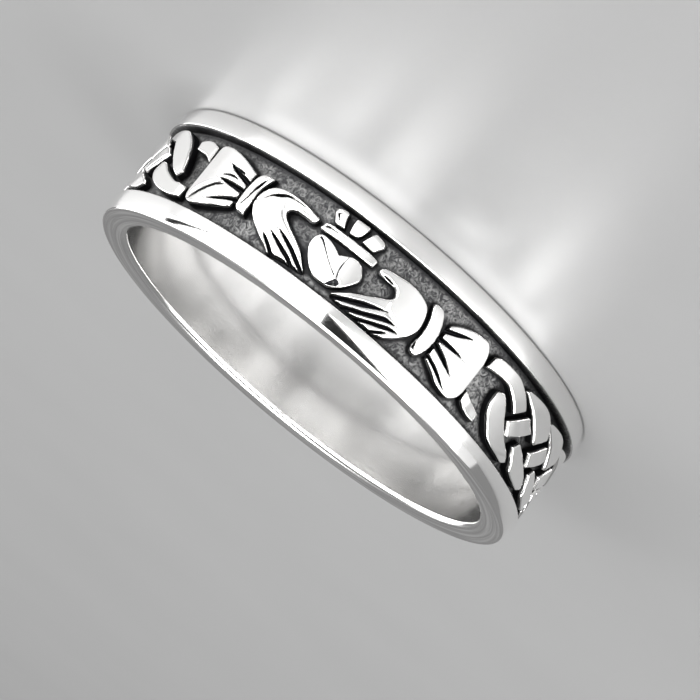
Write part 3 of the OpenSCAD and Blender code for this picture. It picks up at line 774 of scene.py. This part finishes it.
LOOPS = {
    "right_loop_upper": [
        [0.03, 0.36, 0.05, 0.63, 0.90],
        [0.14, 0.40, 0.12, 0.71, 1.00],
        [0.27, 0.44, 0.25, 0.75, 1.00],
        [0.42, 0.44, 0.46, 0.76, 1.00],
        [0.54, 0.36, 0.61, 0.68, 1.00],
        [0.65, 0.25, 0.74, 0.56, 1.00],
        [0.77, 0.11, 0.90, 0.37, 0.90],
    ],
    "right_loop_lower": [
        [0.38, 0.20, 0.44, 0.26, 0.85],
        [0.37, 0.06, 0.51, 0.17, 0.95],
        [0.38, -0.16, 0.62, -0.02, 1.00],
        [0.44, -0.38, 0.71, -0.20, 1.00],
        [0.54, -0.56, 0.82, -0.36, 1.00],
        [0.64, -0.71, 0.93, -0.48, 1.00],
        [0.78, -0.79, 1.05, -0.57, 1.00],
        [0.97, -0.81, 1.13, -0.65, 0.90],
        [1.12, -0.83, 1.19, -0.73, 0.85],
    ],
    "right_loop_stub": [
        [0.04, -0.60, 0.03, -0.35, 0.85],
        [0.12, -0.69, 0.12, -0.43, 0.95],
        [0.23, -0.74, 0.24, -0.49, 0.85],
        [0.37, -0.74, 0.35, -0.55, 0.80],
    ],
    "left_loop_lower": [
        [0.06, -0.78, 0.06, -0.53, 0.85],
        [0.13, -0.83, 0.15, -0.51, 1.00],
        [0.25, -0.84, 0.27, -0.50, 1.00],
        [0.40, -0.80, 0.42, -0.39, 1.00],
        [0.54, -0.72, 0.54, -0.28, 1.00],
        [0.67, -0.60, 0.65, -0.14, 1.00],
        [0.77, -0.45, 0.74, -0.10, 0.95],
        [0.83, -0.33, 0.81, -0.18, 0.85],
    ],
    "left_loop_upper": [
        [0.33, -0.34, 0.29, -0.22, 0.90],
        [0.42, -0.25, 0.34, 0.05, 1.00],
        [0.50, -0.14, 0.41, 0.28, 1.00],
        [0.59, 0.01, 0.48, 0.47, 1.00],
        [0.69, 0.18, 0.58, 0.65, 1.00],
        [0.78, 0.35, 0.69, 0.78, 1.00],
        [0.87, 0.50, 0.79, 0.84, 1.00],
        [1.00, 0.57, 0.95, 0.84, 0.95],
        [1.16, 0.64, 1.13, 0.78, 0.85],
    ],
    "left_loop_stub": [
        [0.04, 0.26, 0.05, 0.63, 0.90],
        [0.13, 0.36, 0.14, 0.70, 0.95],
        [0.24, 0.40, 0.26, 0.71, 0.90],
        [0.35, 0.44, 0.37, 0.62, 0.85],
    ],
}
crossings = np.arange(repeats + 1) * pitch
for name, rows, steps, shifts in (
    ("plait_rising", RISING, (44, 26), crossings),
    ("plait_upper", UPPER, (64, 28), crossings[1:]),
    ("plait_lower", LOWER, (64, 28), crossings[:-1]),
):
    rows = placed(rows, plait_at, pitch)
    raised(name, rows, (), steps, strand_round, shifts=shifts, spread=plait_spread)
for name, rows in LOOPS.items():
    right = name.startswith("right")
    hem, length, way = (right_hem, right_loop_l, 1) if right else (left_hem, left_loop_l, -1)
    raised(name, placed(rows, hem, length, way), (), (80, 34), strand_round, spread=loop_spread)

# Channel: the cast skin of the sunk track between the rims, left rough from the mould and
# darkened with oxide. A polishing cloth has rubbed it greyer in the open. Along the walls and round
# the foot of every raised form it is painted black: partly oxide, partly painted shade where the
# walls and forms shut out the light.
fillet = 0.1 * mm
skin_thick = 0.12 * mm
# How far below the crest the skin ends on the walls
skin_edge = 0.07 * mm
floor_rows = 46
channel_steps = 1350
# The lengths over which the painted black of oxide and shade fades out, from the walls over
# the floor and up the walls
wall_shade = 0.19 * mm
wall_climb = 0.35 * mm
# The widths of the bell curves that spread the painted black of oxide and shade round the
# raised forms and in nooks
foot_halo = 0.1 * mm
nook_halo = 0.2 * mm
count_cell = 0.04 * mm


def channel_face():
    """Points (r, z) down one wall, round a fillet to the floor, over it and up the other."""
    top = crest - skin_edge
    low, high = channel_low + wall_lean, channel_high - wall_lean
    across_floor = np.linspace(low + fillet, high - fillet, floor_rows + 2)[1:-1]
    return np.concatenate([
        np.stack([np.linspace(top, floor + fillet, 5), np.linspace(channel_low, low, 5)], axis=1),
        arc(floor + fillet, low + fillet, fillet, 270, 180, 6)[1:],
        np.stack([np.full(floor_rows, floor), across_floor], axis=1),
        arc(floor + fillet, high - fillet, fillet, 180, 90, 6),
        np.stack([np.linspace(floor + fillet, top, 5)[1:], np.linspace(high, channel_high, 5)[1:]], axis=1),
    ])


def footprints(steps, halo):
    """How near each place of the channel is to a raised form, from 0 to 1, on a grid of turns
    and rows. Cells that hold points of the forms are marked, and the marks are blurred with a
    bell curve, exp(-d^2 / (2 halo^2)), by multiplying Fourier transforms. With a wide halo it
    is high only in nooks that the forms close in on from more than one side."""
    rows = int(2 * half / count_cell)
    marks = np.zeros((steps, rows))
    for piece in relief_pieces:
        points = np.empty(len(piece.data.vertices) * 3)
        piece.data.vertices.foreach_get("co", points)
        x, y, z = points.reshape(-1, 3).T
        proud = np.hypot(x, y) > floor + 2 * cut_end
        turn = np.arctan2(x, -y)[proud] / (2 * math.pi) % 1
        row = (z[proud] - channel_low) / (2 * half) * rows
        marks[(turn * steps).astype(int) % steps, row.astype(int).clip(0, rows - 1)] = 1
    wide = np.fft.fftfreq(steps) * steps / (2 * math.pi * floor)
    tall = np.fft.rfftfreq(2 * rows) / count_cell
    bell = np.exp(-2 * (math.pi * halo) ** 2 * (wide[:, None] ** 2 + tall ** 2))
    padded = np.concatenate([marks, 0 * marks], axis=1)
    return np.fft.irfft2(np.fft.rfft2(padded) * bell, padded.shape)[:, :rows]


def channel_oxide_and_shade():
    """Dark oxide over rough cast metal. Twisted noise gives the marks of the mould, whose tops
    are rubbed grey. The attribute read below, 1 along the walls and round the raised forms and
    0 in the open, paints those places black: partly oxide, partly painted shade."""
    material, add = finish("channel_oxide_and_shade")
    place = add("TexCoord").outputs["Object"]
    sheltered = add("Attribute", attribute_name="sheltered").outputs["Fac"]
    worms = add("TexNoise", {
        "Vector": place, "Scale": 3600, "Detail": 3, "Roughness": 0.6, "Distortion": 1.8,
    }).outputs["Fac"]
    grain = add("TexNoise", {"Vector": place, "Scale": 9000, "Detail": 2}).outputs["Fac"]
    patches = add("TexNoise", {"Vector": place, "Scale": 420, "Detail": 2}).outputs["Fac"]
    worn = ranged(add, worms, 0, 1, 0.4, 0.64)
    for speckles in (ranged(add, grain, 0.6, 1, 0.3, 0.7), ranged(add, patches, 0.5, 1, 0.38, 0.6)):
        worn = add("Math", {0: worn, 1: speckles}, operation="MULTIPLY").outputs[0]
    bare = blend(add, worn, (0.045, 0.045, 0.047), (0.34, 0.34, 0.335))
    bump = add("Bump", {"Strength": 0.7, "Distance": 0.03 * mm, "Height": worms})
    add.shader({
        # Painted shade and oxide: black where the attribute is high
        "Base Color": blend(add, sheltered, bare, (0.02, 0.02, 0.021)),
        "Roughness": ranged(add, worn, 0.5, 0.38),
        "Normal": bump.outputs[0],
    })
    return material


outer = channel_face()
# The skin's back, sunk in the band's metal
back_r = [crest - skin_edge - skin_thick, floor - skin_thick]
back_z = [channel_high + skin_thick, channel_low - skin_thick]
behind = np.array([[back_r[i], back_z[j]] for i, j in ((0, 0), (1, 0), (1, 1), (0, 1))])
# Nearness to the raised forms, which sets the painted shade and oxide round their feet and in nooks
foot, nook = footprints(channel_steps, foot_halo), footprints(channel_steps, nook_halo)
# Painted shade and oxide along the walls, fading over the floor and up the walls
from_wall = np.minimum(outer[:, 1] - channel_low, channel_high - outer[:, 1])
walled = np.clip(1.4 - (from_wall - wall_lean) / wall_shade, 0, 1)
walled = np.minimum(walled, np.clip(1.4 - (outer[:, 0] - floor) / wall_climb, 0, 1))
rows = foot.shape[1]
row = ((outer[:, 1] - channel_low) / (2 * half) * rows).astype(int).clip(0, rows - 1)
# Beside the forms and in nooks the painted black of oxide and shade stays a little lighter than
# in the walls' corners
sheltered = np.maximum(np.clip(foot[:, row] * 4 - 0.3, 0, 0.95), walled)
sheltered = np.maximum(sheltered, np.clip(nook[:, row] * 5 - 1.1, 0, 0.95))
sheltered = np.concatenate([sheltered, np.ones((channel_steps, len(behind)))], axis=1)
channel = turned("channel", np.concatenate([outer, behind]), channel_steps, sheltered=sheltered)
channel.data.materials.append(channel_oxide_and_shade())
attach(channel, "root")

# Floor: the plain studio table that the ring lies on, a board painted pale grey with a slight
# gloss. The polished faces of the ring mirror it.
table_reach = 1.5
floor_mesh = bpy.data.meshes.new("floor")
table_corners = [(x * table_reach, y * table_reach, 0) for x, y in ((-1, -1), (1, -1), (1, 1), (-1, 1))]
floor_mesh.from_pydata(table_corners, [], [(0, 1, 2, 3)])
table = bpy.data.objects.new("floor", floor_mesh)
bpy.context.scene.collection.objects.link(table)
table_top, add = finish("table_top", 0.38)
place = add("TexCoord").outputs["Object"]
cloud = add("TexNoise", {"Vector": place, "Scale": 60, "Detail": 5}).outputs["Fac"]
add.shader({
    "Metallic": 0.0,
    "Base Color": blend(add, cloud, (0.19, 0.19, 0.19), (0.21, 0.21, 0.21)),
})
table.data.materials.append(table_top)

# Camera: on the heart's side, low over the table, with a long lens. It is rolled until the
# ring lies aslant in the picture, with its crown upwards.
view_turn = math.radians(10.16)
view_tilt = math.radians(12.13)
view_roll = math.radians(219.65)
view_reach = 185.93 * mm
# How far the ring's middle stands left of and above the picture's
view_shift = Vector((0.390, 0.895)) * mm
ahead = Vector((
    math.sin(view_turn) * math.cos(view_tilt),
    math.cos(view_turn) * math.cos(view_tilt),
    -math.sin(view_tilt),
))
level = ahead.cross(Vector((0, 0, 1))).normalized()
upright = level.cross(ahead)
across_view = level * math.cos(view_roll) + upright * math.sin(view_roll)
up_view = upright * math.cos(view_roll) - level * math.sin(view_roll)
eye = Vector((0, 0, width / 2)) - ahead * view_reach + across_view * view_shift.x - up_view * view_shift.y
camera_data = bpy.data.cameras.new("camera")
camera_data.sensor_width = 36
camera_data.lens = 217.74
camera_data.clip_start = 0.01
camera_data.clip_end = 10
camera = bpy.data.objects.new("camera", camera_data)
camera.matrix_world = Matrix((
    (across_view.x, up_view.x, -ahead.x, eye.x),
    (across_view.y, up_view.y, -ahead.y, eye.y),
    (across_view.z, up_view.z, -ahead.z, eye.z),
    (0, 0, 0, 1),
))
bpy.context.scene.collection.objects.link(camera)
bpy.context.scene.camera = camera

# Lights: four low softboxes side by side, from the ring's far left past the camera to its
# right, one overhead, and a dim grey studio all round.
low_rise = 20.3
low_reach = 0.7
low_size = (0.8, 0.51)


def softbox(name, turn, rise, reach, size, power):
    """An area light that faces the ring from a turn from the heart and a rise over the table."""
    turn, rise = math.radians(turn), math.radians(rise)
    toward = Vector((-math.sin(turn) * math.cos(rise), -math.cos(turn) * math.cos(rise), math.sin(rise)))
    data = bpy.data.lights.new(name, "AREA")
    data.shape = "RECTANGLE"
    data.size, data.size_y = size
    data.energy = power
    light = bpy.data.objects.new(name, data)
    light.location = toward * reach
    light.rotation_euler = toward.to_track_quat("Z", "Y").to_euler()
    bpy.context.scene.collection.objects.link(light)


# Turn from the heart, and power in watts
for name, turn, power in (
    ("front_softbox", 7, 7),
    ("left_softbox", -52, 7),
    ("far_left_softbox", -108, 3),
    ("right_softbox", 64, 7),
):
    softbox(name, turn, low_rise, low_reach, low_size, power)
softbox("overhead_softbox", 120, 86, 0.8, (0.5, 0.5), 9)
# Dark flags hang before the softboxes and draw the wedges on the rims: shade, then corners as
# [turn from the heart, rise over the table] in degrees
flag_reach = 0.45
FLAGS = {
    "camera_flag": (0.01, [[1, 0], [58, 20], [58, 21], [1, 22]]),
    "right_flag": (0.6, [[84, 0], [100, 0], [100, 30], [88, 30]]),
    "left_flag": (0.01, [[-91, 4], [-62, 0], [-62, 1], [-91, 10]]),
}
for name, (shade, corners) in FLAGS.items():
    flag_cloth, add = finish(name, 0.8)
    add.shader({"Metallic": 0.0, "Specular IOR Level": 0.0, "Base Color": (shade, shade, shade, 1)})
    turn, rise = np.radians(corners).T
    toward = np.stack([-np.sin(turn) * np.cos(rise), -np.cos(turn) * np.cos(rise), np.sin(rise)], axis=1)
    flag_mesh = bpy.data.meshes.new(name)
    flag_mesh.from_pydata(flag_reach * toward, [], [(0, 1, 2, 3)])
    flag_mesh.materials.append(flag_cloth)
    flag = bpy.data.objects.new(name, flag_mesh)
    bpy.context.scene.collection.objects.link(flag)
world = bpy.data.worlds.new("studio")
world.use_nodes = True
world.node_tree.nodes["Background"].inputs["Color"].default_value = (0.24, 0.24, 0.24, 1)
world.node_tree.nodes["Background"].inputs["Strength"].default_value = 1
bpy.context.scene.world = world
bpy.context.scene.view_settings.view_transform = "Standard"
